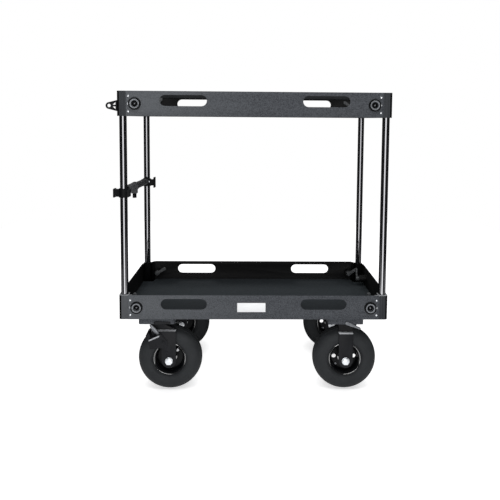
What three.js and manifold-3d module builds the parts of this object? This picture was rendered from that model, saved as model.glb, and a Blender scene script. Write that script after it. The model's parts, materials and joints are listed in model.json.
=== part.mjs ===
// Camera cart: two metal trays on four tube posts, over two swivel and two fixed casters.
// Millimetres, +Z up, front towards -Y. The origin is on the floor under the middle of the cart.
import * as THREE from "three";
import { mergeVertices } from "three/addons/utils/BufferGeometryUtils.js";
import Module from "manifold-3d";

const wasm = await Module();
wasm.setup();

// General clearances
const clearance = 0.3;
const overrun = 2;
const weld = 0.001;

// Trays
const trayLength = 1046;
const trayWidth = 545;
const wallHeight = 95;
const wallThickness = 3;
const topTrayHeight = 1183;
const deckThickness = 3;
const matThickness = 6;

// Corner blocks
const cornerFace = 34.5;
const cornerRadius = 11;
const cornerDrop = 4.5;
const cornerRun = 18;
const tongueReach = 51.5;
const tongueThickness = 5.5;
const sleeveWall = 4;
const postSeat = 3;

// Posts
const postDiameter = 28;
const postTubeWall = 2;
const postInsetX = 19.5;
const postInsetY = 21.5;

// Hand slots in the long walls
const slotInset = 251.1;
const slotLength = 179.4;
const slotHeight = 41.9;
const slotDrop = 14.5;

// Accessory ports in the long walls, and their lock levers
const portInset = 68.3;
const portDrop = 48.2;
const sidePortPlace = 150;
const portCollarDiameter = 42;
const portReach = 9;
const portLipWidth = 2;
const portMouthDepth = 5;
const portBarrelDiameter = 32;
const portBore = 22;
const portBarrelLength = 34;
const portEndWall = 5;
const lockScrewDiameter = 6;
const lockScrewReach = 24;
const lockHubDiameter = 22;
const lockHubLength = 14;
const lockLeverLength = 48;
const lockLeverRootWidth = 11;
const lockLeverTipWidth = 15;
const lockLeverThickness = 7;

// Rivets
const rivetInset = 43.5;
const rivetDrop = 19.5;
const rivetPitch = 29;
const rivetRows = 3;
const rivetDiameter = 6;
const rivetHeadHeight = 1.6;

// Label plate
const plateLength = 110;
const plateHeight = 36;
const plateThickness = 1;
const plateOffset = -9.6;
const plateDrop = 47.5;

// Handle brackets on the left end of the top tray
const bracketReach = 44;
const bracketHeight = 42;
const bracketThickness = 5;
const bracketFootWidth = 11.5;
const bracketFootThickness = 3;
const bracketEyeDiameter = 13.5;
const bracketTipRadius = 13;
const bracketWeb = 7;
const bracketDrop = 56;
const bracketInset = 17.5;

// Push handle between the left posts
const handleHeight = 793;
const handleFall = 14;
const handleBarDiameter = 29;
const handleBarLift = 7;
const handleSocketWall = 4;
const handleSocketLength = 32;
const clampRadius = 19;
const clampHeight = 34;
const clampArmReach = 38;
const clampTailReach = 25;
const clampArmWidth = 24;
const clampArmHeight = 28;
const clampEndThickness = 6;
const frontClampEndHeight = 33;
const backClampEndHeight = 48;
const clampEndWidth = 32;
const collarPlace = -45;
const collarLength = 26;
const collarWall = 4;
const collarBossWidth = 23;
const collarBossDrop = 29;
const knobStemDiameter = 8;
const knobDiameter = 17;
const knobWaist = 14;
const knobLength = 19;
const knobLobes = 6;

// Casters
const casterInset = 70.5;
const swivelInset = 140;
const swivelTrail = 50;
const fixedInset = 158;
const wheelRadius = 127;
const tyreHeadroom = 24.7;

// Caster mounting blocks and their release levers
const blockLength = 139;
const blockShift = 4;
const blockWidth = 127;
const blockHeight = 22.4;
const blockCorner = 5;
const casterPlateLength = 112;
const casterPlateWidth = 100;
const casterPlateThickness = 5.5;
const releaseLeverReach = 59;
const releaseLeverRootWidth = 13;
const releaseLeverTipWidth = 7;
const releaseLeverThickness = 5;
const releasePinDiameter = 8;
const releasePinDepth = 12;
const releasePinHead = 1.5;
const releaseDrop = 16.1;

// Forks. Each drop is measured down from the top of the tyre.
const forkSheet = 5;
const neckHalfWidth = 40.5;
const legHalfWidth = 55.5;
const legWidth = 56;
const fixedShelfDrop = 14;
const swivelShelfDrop = 5;
const crownThickness = 8;
const raceDiameter = 52;
const raceHeight = 8.5;
const kingpinDiameter = 16;
const kingpinNutDiameter = 28;
const kingpinNutHeight = 6;
const crownTrail = 34;
const neckLead = 24;
const neckLeadLow = 16;
const neckLowDrop = 16;
const legShoulderDrop = 54;

// Axles
const axleDiameter = 16;
const nutAcrossCorners = 29;
const nutThickness = 8;

// Rims and tyres
const hubDiameter = 36;
const hubEndGap = 3.5;
const webThickness = 5;
const barrelDiameter = 114;
const barrelWall = 5;
const flangeDiameter = 129;
const rimHalfWidth = 33;
const flangeThickness = 3;
const seatHalfWidth = 26;
const rimHoleCircle = 80;
const rimHoleDiameter = 16;
const rimHoles = 2;
const swivelRimTurn = THREE.MathUtils.degToRad(50);
const tyreHalfWidth = 43;
const tyreTreadHalfWidth = 12;
const tyreShoulderHalfWidth = 29;
const tyreShoulderDepth = 8;
const tyreUpperHalfWidth = 38.5;
const tyreUpperDepth = 28;
const tyreWidestDepth = 46;

// Brakes, with their drops measured in the same way
const brakePivotX = 31;
const brakePivotDrop = 50;
const brakePinDiameter = 9;
const brakePinHead = 13;
const brakePinHeadHeight = 2.5;
const brakeBoltX = 42;
const brakeBoltDrop = 92;
const brakePlateThickness = 4;
const pedalThickness = 5;
const pedalReach = 24;
const pedalLowX = -23.5;
const pedalLowDrop = 31;
const pedalHighX = 17;
const pedalHighDrop = 13;
const brakeFootDrop = 77;
const shoeGap = 4.5;
const shoeThickness = 6;
const shoeLength = 16;
const shoeHalfSpan = 12;
const shoeTurn = THREE.MathUtils.degToRad(127.5);

// Facets of the round pieces
const wheelSides = 28;
const rimSides = 16;
const tubeSides = 16;
const socketSides = 10;
const smallSides = 8;
const rivetSides = 6;
const nutSides = 6;

// Steps along each eighth of a drawn circle
const fineSteps = 4;
const plainSteps = 2;
const coarseSteps = 1;

// Places that follow from the sizes above
const halfLength = trayLength / 2;
const halfWidth = trayWidth / 2;
const lowBlockTop = wallHeight - cornerDrop;
const centreShift = (bracketReach - portReach) / 2;
const portHeight = wallHeight - portDrop;
const matHeight = deckThickness + clearance;
const postRadius = postDiameter / 2;
const postX = halfLength - postInsetX;
const postY = halfWidth - postInsetY;
const slotCentre = halfLength - slotInset;
const casterPlaceY = halfWidth - casterInset;
const swivelPlaceX = swivelInset - halfLength;
const fixedPlaceX = halfLength - fixedInset;
const tyreTop = wheelRadius * 2;
const blockBottom = tyreTop + tyreHeadroom;
const mountHeight = blockBottom + blockHeight;
const bottomTrayHeight = mountHeight + clearance + wallHeight;
const legInner = legHalfWidth - forkSheet;
const hubHalfLength = legInner - hubEndGap;
const fixedShelfHeight = tyreTop - fixedShelfDrop;
const swivelShelfHeight = tyreTop - swivelShelfDrop;
const neckLowHeight = tyreTop - neckLowDrop;
const legShoulderHeight = tyreTop - legShoulderDrop;
const brakePivotHeight = tyreTop - brakePivotDrop;
const brakeBoltHeight = tyreTop - brakeBoltDrop;
const pedalLowHeight = tyreTop - pedalLowDrop;
const pedalHighHeight = tyreTop - pedalHighDrop;
const brakeFootHeight = tyreTop - brakeFootDrop;

// A solid from a closed shape, with its shared corners merged and its faces turned outwards.
function solidOf(geometry) {
  const bare = geometry.clone();
  bare.deleteAttribute("normal");
  bare.deleteAttribute("uv");
  const merged = mergeVertices(bare, weld);
  const places = merged.attributes.position;
  const corners = merged.index.array;
  const a = new THREE.Vector3();
  const b = new THREE.Vector3();
  const c = new THREE.Vector3();
  const faces = [];
  let volume = 0;
  for (let i = 0; i < corners.length; i += 3) {
    const [p, q, r] = [corners[i], corners[i + 1], corners[i + 2]];
    if (p === q || q === r || r === p) continue;
    a.fromBufferAttribute(places, p);
    b.fromBufferAttribute(places, q);
    c.fromBufferAttribute(places, r);
    volume += a.dot(b.cross(c));
    faces.push([p, q, r]);
  }
  const turned = volume < 0 ? faces.map(([p, q, r]) => [p, r, q]) : faces;
  const vertProperties = new Float32Array(places.array);
  const triVerts = new Uint32Array(turned.flat());
  return new wasm.Manifold(new wasm.Mesh({ numProp: 3, vertProperties, triVerts }));
}

function geometryOf(solid) {
  const mesh = solid.getMesh();
  const geometry = new THREE.BufferGeometry();
  geometry.setAttribute("position", new THREE.BufferAttribute(new Float32Array(mesh.vertProperties), 3));
  geometry.setIndex(new THREE.BufferAttribute(new Uint32Array(mesh.triVerts), 1));
  geometry.computeVertexNormals();
  return geometry;
}

function joined(solids) {
  return solids.reduce((whole, next) => whole.add(next));
}

function cut(solid, tools) {
  return tools.reduce((rest, tool) => rest.subtract(tool), solid);
}

// A box between two corners.
function box(x0, x1, y0, y1, z0, z1) {
  const geometry = new THREE.BoxGeometry(x1 - x0, y1 - y0, z1 - z0);
  return geometry.translate((x0 + x1) / 2, (y0 + y1) / 2, (z0 + z1) / 2);
}

// The corner radius of a many-sided hole whose flats clear a round pin.
function holeRadius(pinDiameter, sides) {
  return (pinDiameter / 2 + clearance) / Math.cos(Math.PI / sides);
}

// Round bars along each axis, between two stations on that axis.
function barZ(radius, x, y, z0, z1, sides = tubeSides) {
  const geometry = new THREE.CylinderGeometry(radius, radius, z1 - z0, sides);
  return geometry.rotateX(Math.PI / 2).translate(x, y, (z0 + z1) / 2);
}

function barY(radius, x, z, y0, y1, sides = tubeSides) {
  const geometry = new THREE.CylinderGeometry(radius, radius, y1 - y0, sides);
  return geometry.translate(x, (y0 + y1) / 2, z);
}

function barX(radius, y, z, x0, x1, sides = tubeSides) {
  const geometry = new THREE.CylinderGeometry(radius, radius, x1 - x0, sides);
  return geometry.rotateZ(Math.PI / 2).translate((x0 + x1) / 2, y, z);
}

// An outline in the XZ plane, given its thickness from y0 to y1.
function slabY(shape, y0, y1, curveSegments = plainSteps) {
  const geometry = new THREE.ExtrudeGeometry(shape, { depth: y1 - y0, bevelEnabled: false, curveSegments });
  return geometry.rotateX(Math.PI / 2).translate(0, y1, 0);
}

// An outline in the YZ plane, given its thickness from x0 to x1.
function slabX(shape, x0, x1, curveSegments = plainSteps) {
  const geometry = new THREE.ExtrudeGeometry(shape, { depth: x1 - x0, bevelEnabled: false, curveSegments });
  const turn = new THREE.Matrix4().makeBasis(
    new THREE.Vector3(0, 1, 0),
    new THREE.Vector3(0, 0, 1),
    new THREE.Vector3(1, 0, 0),
  );
  return geometry.applyMatrix4(turn).translate(x0, 0, 0);
}

// An outline in the XY plane, given its thickness from z0 to z1.
function slabZ(shape, z0, z1, curveSegments = plainSteps) {
  const geometry = new THREE.ExtrudeGeometry(shape, { depth: z1 - z0, bevelEnabled: false, curveSegments });
  return geometry.translate(0, 0, z0);
}

function outline(points) {
  return new THREE.Shape(points.map(([x, y]) => new THREE.Vector2(x, y)));
}

function roundedRectangle(halfX, halfY, radius) {
  const shape = new THREE.Shape();
  shape.moveTo(-halfX + radius, -halfY);
  shape.lineTo(halfX - radius, -halfY);
  shape.absarc(halfX - radius, -halfY + radius, radius, -Math.PI / 2, 0);
  shape.lineTo(halfX, halfY - radius);
  shape.absarc(halfX - radius, halfY - radius, radius, 0, Math.PI / 2);
  shape.lineTo(-halfX + radius, halfY);
  shape.absarc(-halfX + radius, halfY - radius, radius, Math.PI / 2, Math.PI);
  shape.lineTo(-halfX, -halfY + radius);
  shape.absarc(-halfX + radius, -halfY + radius, radius, Math.PI, Math.PI * 1.5);
  return shape;
}

// A lever blade in the XZ plane: round at its eye and at its tip, pointing along +X.
function bladeShape(reach, rootWidth, tipWidth) {
  const root = rootWidth / 2;
  const tip = tipWidth / 2;
  const shape = new THREE.Shape();
  shape.absarc(0, 0, root, Math.PI / 2, Math.PI * 1.5);
  shape.absarc(reach - tip, 0, tip, -Math.PI / 2, Math.PI / 2);
  return shape;
}

// Finishes
function finish(colour, roughness, metalness) {
  return new THREE.MeshStandardMaterial({ color: colour, roughness, metalness });
}

const powderCoat = () => finish(0x26292b, 0.55, 0.1);
const cornerCoat = () => finish(0x1d1f21, 0.4, 0.2);
const tubeGloss = () => finish(0x0c0d0e, 0.2, 0.4);
const matRubber = () => finish(0x2a3033, 0.9, 0);
const tyreRubber = () => finish(0x2b2d30, 0.85, 0);
const rimGloss = () => finish(0x141618, 0.25, 0.3);
const zinc = () => finish(0xc9ccd0, 0.3, 1);
const blackSteel = () => finish(0x1a1c1e, 0.45, 0.3);
const blackPlastic = () => finish(0x17191a, 0.5, 0);
const whitePlate = () => finish(0xe6e8ea, 0.4, 0);
const gripRubber = () => finish(0x1c1d1f, 0.8, 0);

const cart = new THREE.Group();
cart.position.x = centreShift;

function piece(parent, name, geometry, material, x = 0, y = 0, z = 0) {
  const mesh = new THREE.Mesh(geometry, material);
  mesh.name = name;
  mesh.position.set(x, y, z);
  parent.add(mesh);
  return mesh;
}

// A wall's outline. An end by a lower back block slopes down to it, and the others are square.
function wallOutline(half, leftDrop, rightDrop) {
  const end = (side, drop) => {
    if (!drop) return [[side * half, wallHeight]];
    return [[side * half, wallHeight - drop], [side * (half - cornerRun), wallHeight]];
  };
  return outline([[-half, 0], [half, 0], ...end(1, rightDrop), ...end(-1, leftDrop).reverse()]);
}

function handSlot(centre) {
  const radius = slotHeight / 2;
  const run = slotLength / 2 - radius;
  const z = wallHeight - slotDrop - radius;
  const shape = new THREE.Shape();
  shape.absarc(centre + run, z, radius, -Math.PI / 2, Math.PI / 2);
  shape.absarc(centre - run, z, radius, Math.PI / 2, Math.PI * 1.5);
  return slabY(shape, -halfWidth - overrun, -halfWidth + wallThickness + overrun, fineSteps);
}

// A corner block, drawn inwards from its two outer faces. The bore holds a post's end.
function cornerBlock(height, boreFrom, boreTo) {
  const step = wallThickness + clearance;
  const tongueBack = step + tongueThickness;
  const bodyX = postInsetX + postRadius + sleeveWall;
  const bodyY = postInsetY + postRadius + sleeveWall;
  const shape = new THREE.Shape();
  shape.moveTo(cornerRadius, 0);
  shape.lineTo(cornerFace, 0);
  shape.lineTo(cornerFace, step);
  shape.lineTo(tongueReach, step);
  shape.lineTo(tongueReach, tongueBack);
  shape.lineTo(bodyX, tongueBack);
  shape.lineTo(bodyX, bodyY - sleeveWall);
  shape.lineTo(bodyX - sleeveWall, bodyY);
  shape.lineTo(tongueBack, bodyY);
  shape.lineTo(tongueBack, tongueReach);
  shape.lineTo(step, tongueReach);
  shape.lineTo(step, cornerFace);
  shape.lineTo(0, cornerFace);
  shape.lineTo(0, cornerRadius);
  shape.absarc(cornerRadius, cornerRadius, cornerRadius, Math.PI, Math.PI * 1.5);
  const block = solidOf(slabZ(shape, 0, height));
  const bore = solidOf(barZ(postRadius + clearance, postInsetX, postInsetY, boreFrom, boreTo));
  return geometryOf(block.subtract(bore));
}

// A sheet that fills the tray between two limits and leaves the corner blocks free.
function traySheet(halfX, halfY, height, thickness) {
  const notchX = halfLength - tongueReach - clearance;
  const notchY = halfWidth - tongueReach - clearance;
  const shape = outline([
    [-notchX, -halfY], [notchX, -halfY], [notchX, -notchY], [halfX, -notchY],
    [halfX, notchY], [notchX, notchY], [notchX, halfY], [-notchX, halfY],
    [-notchX, notchY], [-halfX, notchY], [-halfX, -notchY], [-notchX, -notchY],
  ]);
  return slabZ(shape, height, height + thickness);
}

// A collared socket with a bevelled mouth, a blind bore and a hole for the lock screw.
// Its mouth looks along -Y, with the wall's outer face at y = 0.
function portSocket() {
  const barrel = portBarrelDiameter / 2;
  const collar = portCollarDiameter / 2;
  const bore = portBore / 2;
  const screw = holeRadius(lockScrewDiameter, socketSides);
  const body = [
    [0, portBarrelLength],
    [barrel, portBarrelLength],
    [barrel, 0],
    [collar, 0],
    [collar, -portReach],
    [0, -portReach],
  ];
  const hollow = [
    [0, -portReach - overrun],
    [collar - portLipWidth, -portReach - overrun],
    [collar - portLipWidth, -portReach],
    [bore, -portReach + portMouthDepth],
    [bore, portBarrelLength - portEndWall],
    [screw, portBarrelLength - portEndWall],
    [screw, portBarrelLength + overrun],
    [0, portBarrelLength + overrun],
  ];
  return [body, hollow].map((profile) => {
    return new THREE.LatheGeometry(profile.map(([r, y]) => new THREE.Vector2(r, y)), socketSides);
  });
}

function rivetHead(x, z) {
  return barY(rivetDiameter / 2, x, z, -halfWidth - rivetHeadHeight, -halfWidth + overrun / 2, rivetSides);
}

// The places of a tray's sockets: each is moved from the front wall's middle, then turned.
function socketPlaces(sidePort) {
  const places = [];
  for (const turn of [0, Math.PI]) {
    for (const end of [-1, 1]) {
      places.push(new THREE.Matrix4().makeRotationZ(turn).setPosition(
        end * (halfLength - portInset), turn ? halfWidth : -halfWidth, portHeight,
      ));
    }
  }
  if (sidePort) {
    places.push(new THREE.Matrix4().makeRotationZ(Math.PI / 2).setPosition(halfLength, sidePortPlace, portHeight));
  }
  return places;
}

// One folded tray: deck, four walls, rivet heads and sockets.
function trayPan(sidePort) {
  const longHalf = halfLength - cornerFace - clearance;
  const endHalf = halfWidth - cornerFace - clearance;
  const deck = traySheet(halfLength, halfWidth, 0, deckThickness);
  const front = slabY(wallOutline(longHalf, 0, 0), -halfWidth, -halfWidth + wallThickness);
  const back = slabY(wallOutline(longHalf, cornerDrop, cornerDrop), halfWidth - wallThickness, halfWidth);
  const right = slabX(wallOutline(endHalf, 0, cornerDrop), halfLength - wallThickness, halfLength);
  const left = right.clone().translate(wallThickness - trayLength, 0, 0);
  const solids = [deck, front, back, right, left];
  for (let row = 0; row < rivetRows; row += 1) {
    const z = wallHeight - rivetDrop - row * rivetPitch;
    for (const end of [-1, 1]) {
      const onFront = rivetHead(end * (halfLength - rivetInset), z);
      const onEnd = rivetHead(end * (halfWidth - rivetInset), z).translate(0, halfWidth - halfLength, 0);
      solids.push(onFront, onFront.clone().rotateZ(Math.PI));
      solids.push(onEnd.rotateZ(Math.PI / 2), onEnd.clone().rotateZ(Math.PI));
    }
  }
  const [body, hollow] = portSocket();
  const places = socketPlaces(sidePort);
  solids.push(...places.map((place) => body.clone().applyMatrix4(place)));
  const cuts = places.map((place) => hollow.clone().applyMatrix4(place));
  for (const centre of [-slotCentre, slotCentre]) {
    const slot = handSlot(centre);
    cuts.push(slot, slot.clone().rotateZ(Math.PI));
  }
  return geometryOf(cut(joined(solids.map(solidOf)), cuts.map(solidOf)));
}

// A lock lever: a screw through the socket's end wall, a hub and a blade that points along +Z.
function lockLever() {
  const face = portBarrelLength + clearance;
  const back = face + lockHubLength;
  const tip = portBarrelLength - lockScrewReach;
  const screw = solidOf(barY(lockScrewDiameter / 2, 0, 0, tip, face + overrun, smallSides));
  const hub = solidOf(barY(lockHubDiameter / 2, 0, 0, face, back, tubeSides));
  const shape = bladeShape(lockLeverLength, lockLeverRootWidth, lockLeverTipWidth);
  const blade = slabY(shape, back - lockLeverThickness, back - overrun / 2).rotateY(-Math.PI / 2);
  return geometryOf(joined([screw, hub, solidOf(blade)]));
}

const leverLeans = {
  top: { front_left: 40, front_right: -30, back_left: 35, back_right: -55 },
  bottom: { front_left: -22, front_right: 4, back_left: 58, back_right: 60 },
};
const sideLeverLean = 20;

function buildTray(name, topHeight, boreFrom, boreTo, sidePort) {
  const tray = new THREE.Group();
  tray.position.z = topHeight - wallHeight;
  const matX = halfLength - wallThickness - clearance;
  const matY = halfWidth - wallThickness - clearance;
  piece(tray, `${name}_tray`, trayPan(sidePort), powderCoat());
  piece(tray, `${name}_mat`, traySheet(matX, matY, matHeight, matThickness), matRubber());
  for (const [x, sideX] of [[-1, "left"], [1, "right"]]) {
    for (const [y, sideY] of [[-1, "front"], [1, "back"]]) {
      const corner = `${name}_${sideY}_${sideX}`;
      const height = y < 0 ? wallHeight : lowBlockTop;
      const block = geometryOf(solidOf(cornerBlock(height, boreFrom, boreTo).scale(-x, -y, 1)));
      piece(tray, `${corner}_corner_block`, block, cornerCoat(), x * halfLength, y * halfWidth, 0);
      const lean = THREE.MathUtils.degToRad(leverLeans[name][`${sideY}_${sideX}`]);
      const lever = geometryOf(solidOf(lockLever().rotateY(lean).scale(1, -y, 1)));
      const placeX = x * (halfLength - portInset);
      piece(tray, `${corner}_lock_lever`, lever, blackPlastic(), placeX, y * halfWidth, portHeight);
    }
  }
  if (sidePort) {
    const lever = lockLever().rotateY(THREE.MathUtils.degToRad(sideLeverLean)).rotateZ(Math.PI / 2);
    piece(tray, `${name}_side_lock_lever`, lever, blackPlastic(), halfLength, sidePortPlace, portHeight);
  }
  cart.add(tray);
}

buildTray("top", topTrayHeight, -overrun, lowBlockTop - postSeat, false);
buildTray("bottom", bottomTrayHeight, postSeat, wallHeight + overrun, true);

const plateZ = bottomTrayHeight - plateDrop;
const plateFace = -halfWidth - plateThickness;
const labelPlate = box(
  plateOffset - plateLength / 2, plateOffset + plateLength / 2,
  plateFace, -halfWidth,
  plateZ - plateHeight / 2, plateZ + plateHeight / 2,
);
piece(cart, "label_plate", labelPlate, whitePlate());

// Posts: thin tubes from the seat in each lower block to the seat in the upper one.
const postFoot = bottomTrayHeight - wallHeight + postSeat + clearance;
const postHead = topTrayHeight - wallHeight + lowBlockTop - postSeat - clearance;

function postTube() {
  const shape = new THREE.Shape();
  shape.absarc(0, 0, postRadius, 0, Math.PI * 2);
  const bore = new THREE.Path();
  bore.absarc(0, 0, postRadius - postTubeWall, 0, Math.PI * 2);
  shape.holes.push(bore);
  return slabZ(shape, postFoot, postHead, tubeSides / 2);
}

for (const [x, sideX] of [[-1, "left"], [1, "right"]]) {
  for (const [y, sideY] of [[-1, "front"], [1, "back"]]) {
    piece(cart, `${sideY}_${sideX}_post`, postTube(), tubeGloss(), x * postX, y * postY);
  }
}

// Handle brackets: a pierced ear with a round eye, on a foot against the tray's corner block.
function handleBracket() {
  const half = bracketHeight / 2;
  const eyeX = -bracketReach + bracketTipRadius;
  const rise = Math.asin((half - bracketTipRadius) / -eyeX);
  const shape = new THREE.Shape();
  shape.moveTo(0, -half);
  shape.lineTo(0, half);
  shape.absarc(eyeX, 0, bracketTipRadius, Math.PI / 2 + rise, Math.PI * 1.5 - rise);
  const eye = new THREE.Path();
  eye.absarc(eyeX, 0, bracketEyeDiameter / 2, 0, Math.PI * 2);
  shape.holes.push(eye);
  const nearX = -bracketFootThickness - bracketWeb / 2;
  const farX = eyeX + bracketEyeDiameter / 2 + bracketWeb;
  for (const side of [-1, 1]) {
    const low = side * bracketWeb / 2;
    const high = side * (half - bracketWeb);
    const window = new THREE.Path();
    window.moveTo(nearX, low);
    window.lineTo(nearX, high);
    window.lineTo(farX, low);
    shape.holes.push(window);
  }
  const ear = solidOf(slabY(shape, -bracketThickness, 0, fineSteps));
  const foot = solidOf(box(-bracketFootThickness, 0, -bracketThickness, bracketFootWidth - bracketThickness, -half, half));
  return geometryOf(ear.add(foot));
}

for (const [side, name] of [[-1, "front"], [1, "back"]]) {
  const bracket = geometryOf(solidOf(handleBracket().scale(1, -side, 1)));
  const placeY = side * (halfWidth - bracketInset);
  piece(cart, `${name}_handle_bracket`, bracket, powderCoat(), -halfLength, placeY, topTrayHeight - bracketDrop);
}

// Push handle: a tube between two split clamps, which grip the left posts.
const barRadius = handleBarDiameter / 2;
const barEnd = postY - postRadius - overrun;
const handleSlope = -handleFall / (2 * postY);
const handleMiddle = handleHeight - handleFall / 2;

// The bar falls a little towards the back, so its pieces are sheared along Y.
function sheared(geometry, slope) {
  return geometry.applyMatrix4(new THREE.Matrix4().makeShear(0, 0, 0, slope, 0, 0));
}

function postClamp(slope, endHeight) {
  const sleeve = barZ(clampRadius, 0, 0, -clampHeight / 2, clampHeight / 2);
  const armZ = clampArmHeight / 2;
  const armY = clampArmWidth / 2;
  const arm = box(-clampArmReach + overrun, clampTailReach, -armY, armY, -armZ, armZ);
  const endY = clampEndWidth / 2;
  const endZ = endHeight / 2;
  const end = box(-clampArmReach, -clampArmReach + clampEndThickness, -endY, endY, -endZ, endZ);
  const socketRadius = barRadius + handleSocketWall;
  const socket = sheared(barY(socketRadius, 0, 0, 0, handleSocketLength), slope).translate(0, 0, handleBarLift);
  const body = joined([sleeve, arm, end, socket].map(solidOf));
  const high = clampHeight;
  const postBore = barZ(postRadius + clearance, 0, 0, -high, high);
  const barStart = postRadius + overrun - clearance;
  const bore = barY(barRadius + clearance, 0, 0, barStart, handleSocketLength + overrun);
  const barBore = sheared(bore, slope).translate(0, 0, handleBarLift);
  return cut(body, [postBore, barBore].map(solidOf));
}

function placedClamp(side) {
  const endHeight = side < 0 ? frontClampEndHeight : backClampEndHeight;
  const clamp = geometryOf(postClamp(-side * handleSlope, endHeight));
  const turned = side < 0 ? clamp : clamp.rotateZ(Math.PI);
  return turned.translate(-postX, side * postY, handleMiddle - side * handleFall / 2);
}

const barHeight = handleMiddle + handleBarLift;
const collarHeight = barHeight + handleSlope * collarPlace;
const pushHandle = new THREE.Group();
piece(pushHandle, "handle_front_clamp", placedClamp(-1), blackPlastic());
piece(pushHandle, "handle_back_clamp", placedClamp(1), blackPlastic());

// The bar, and the collar on it with a boss below for the knob's screw.
function handleBar() {
  const bar = sheared(barY(barRadius, 0, 0, -barEnd, barEnd), handleSlope).translate(-postX, 0, barHeight);
  const ring = barY(barRadius + collarWall, 0, 0, -collarLength / 2, collarLength / 2);
  const bossHalf = collarBossWidth / 2;
  const boss = box(-bossHalf, bossHalf, -bossHalf, bossHalf, -collarBossDrop, 0);
  const screwRadius = holeRadius(knobStemDiameter, smallSides);
  const screwHole = barZ(screwRadius, 0, 0, -collarBossDrop - overrun, -barRadius, smallSides);
  const collar = cut(joined([ring, boss].map(solidOf)), [solidOf(screwHole)]);
  const placed = geometryOf(collar).translate(-postX, collarPlace, collarHeight);
  return geometryOf(joined([bar, placed].map(solidOf)));
}

// The knob: a lobed grip with a screw above it.
function lockKnob() {
  const top = -collarBossDrop - clearance;
  const corners = [];
  for (let i = 0; i < knobLobes * 2; i += 1) {
    const radius = (i % 2 ? knobWaist : knobDiameter) / 2;
    const angle = (i * Math.PI) / knobLobes;
    corners.push([radius * Math.cos(angle), radius * Math.sin(angle)]);
  }
  const grip = slabZ(outline(corners), top - knobLength, top);
  const stem = barZ(knobStemDiameter / 2, 0, 0, top - overrun, -barRadius - overrun, smallSides);
  return geometryOf(joined([grip, stem].map(solidOf)));
}

piece(pushHandle, "handle_bar", handleBar(), gripRubber());
piece(pushHandle, "handle_knob", lockKnob(), blackPlastic(), -postX, collarPlace, collarHeight);
cart.add(pushHandle);

// Caster mounting blocks: each has a shallow pocket for a caster's plate and a hole for a lever's pin.
const releaseZ = mountHeight - releaseDrop;

function mountingBlock(side, shift) {
  const shape = roundedRectangle(blockLength / 2, blockWidth / 2, blockCorner);
  const body = solidOf(slabZ(shape, blockBottom, mountHeight, coarseSteps).translate(shift, 0, 0));
  const pocketX = casterPlateLength / 2 + clearance;
  const pocketY = casterPlateWidth / 2 + clearance;
  const pocketTop = blockBottom + casterPlateThickness + clearance;
  const pocket = box(-pocketX, pocketX, -pocketY, pocketY, blockBottom - overrun, pocketTop);
  const face = blockWidth / 2;
  const depth = face - releasePinDepth - clearance;
  const pin = barY(holeRadius(releasePinDiameter, smallSides), 0, releaseZ, depth, face + overrun, smallSides);
  return geometryOf(cut(body, [solidOf(pocket), solidOf(pin.scale(1, side, 1))]));
}

const casterPlaces = [
  { name: "front_left", x: swivelPlaceX, side: -1, swivel: true },
  { name: "back_left", x: swivelPlaceX, side: 1, swivel: true },
  { name: "front_right", x: fixedPlaceX, side: -1, swivel: false },
  { name: "back_right", x: fixedPlaceX, side: 1, swivel: false },
];

// A release lever: a blade on the block's outer face, with a pin into the block.
const releasedTurn = THREE.MathUtils.degToRad(22);

function releaseLever(side, turn) {
  const face = blockWidth / 2 + clearance;
  const back = face + releaseLeverThickness;
  const shape = bladeShape(releaseLeverReach, releaseLeverRootWidth, releaseLeverTipWidth);
  const blade = slabY(shape, face, back);
  const pin = barY(releasePinDiameter / 2, 0, 0, face - releasePinDepth, back + releasePinHead, smallSides);
  const lever = geometryOf(joined([blade, pin].map(solidOf)));
  return geometryOf(solidOf(lever.rotateY(turn).scale(1, side, 1)));
}

for (const { name, x, side, swivel } of casterPlaces) {
  const lever = releaseLever(side, swivel ? 0 : releasedTurn);
  const shift = x < 0 ? blockShift : -blockShift;
  piece(cart, `${name}_caster_block`, mountingBlock(side, shift), powderCoat(), x, side * casterPlaceY);
  piece(cart, `${name}_release_lever`, lever, zinc(), x, side * casterPlaceY, releaseZ);
}

// Casters. Each is drawn about its plate's centre, with the wheel at x = trail.
const crownTopSwivel = blockBottom - raceHeight - clearance;
const legEnd = legWidth / 2;

// The fork's bent sheet, seen along X: a crown, two necks, a shelf out to each leg.
function forkSection(crownTop, shelf) {
  const crownBottom = crownTop - crownThickness;
  const neckInner = neckHalfWidth - forkSheet;
  const foot = wheelRadius - legEnd;
  const half = [
    [neckHalfWidth, crownTop],
    [neckHalfWidth, shelf],
    [legHalfWidth, shelf],
    [legHalfWidth, foot],
    [legInner, foot],
    [legInner, shelf - forkSheet],
    [neckInner, shelf - forkSheet],
    [neckInner, crownBottom],
  ];
  const mirrored = half.map(([y, z]) => [-y, z]).reverse();
  return outline([...half, ...mirrored]);
}

// The fork seen along Y: its legs end in a round eye about the axle.
function forkSide(swivel, crownTop, trail) {
  const shape = new THREE.Shape();
  shape.moveTo(trail + legEnd, wheelRadius);
  if (swivel) {
    shape.lineTo(trail + legEnd, swivelShelfHeight);
    shape.lineTo(crownTrail, crownTop);
    shape.lineTo(-neckLead, crownTop);
    shape.lineTo(-neckLeadLow, neckLowHeight);
    shape.lineTo(trail - legEnd, legShoulderHeight);
  } else {
    shape.lineTo(trail + legEnd, crownTop);
    shape.lineTo(trail - legEnd, crownTop);
  }
  shape.lineTo(trail - legEnd, wheelRadius);
  shape.absarc(trail, wheelRadius, legEnd, Math.PI, Math.PI * 2);
  return shape;
}

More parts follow.
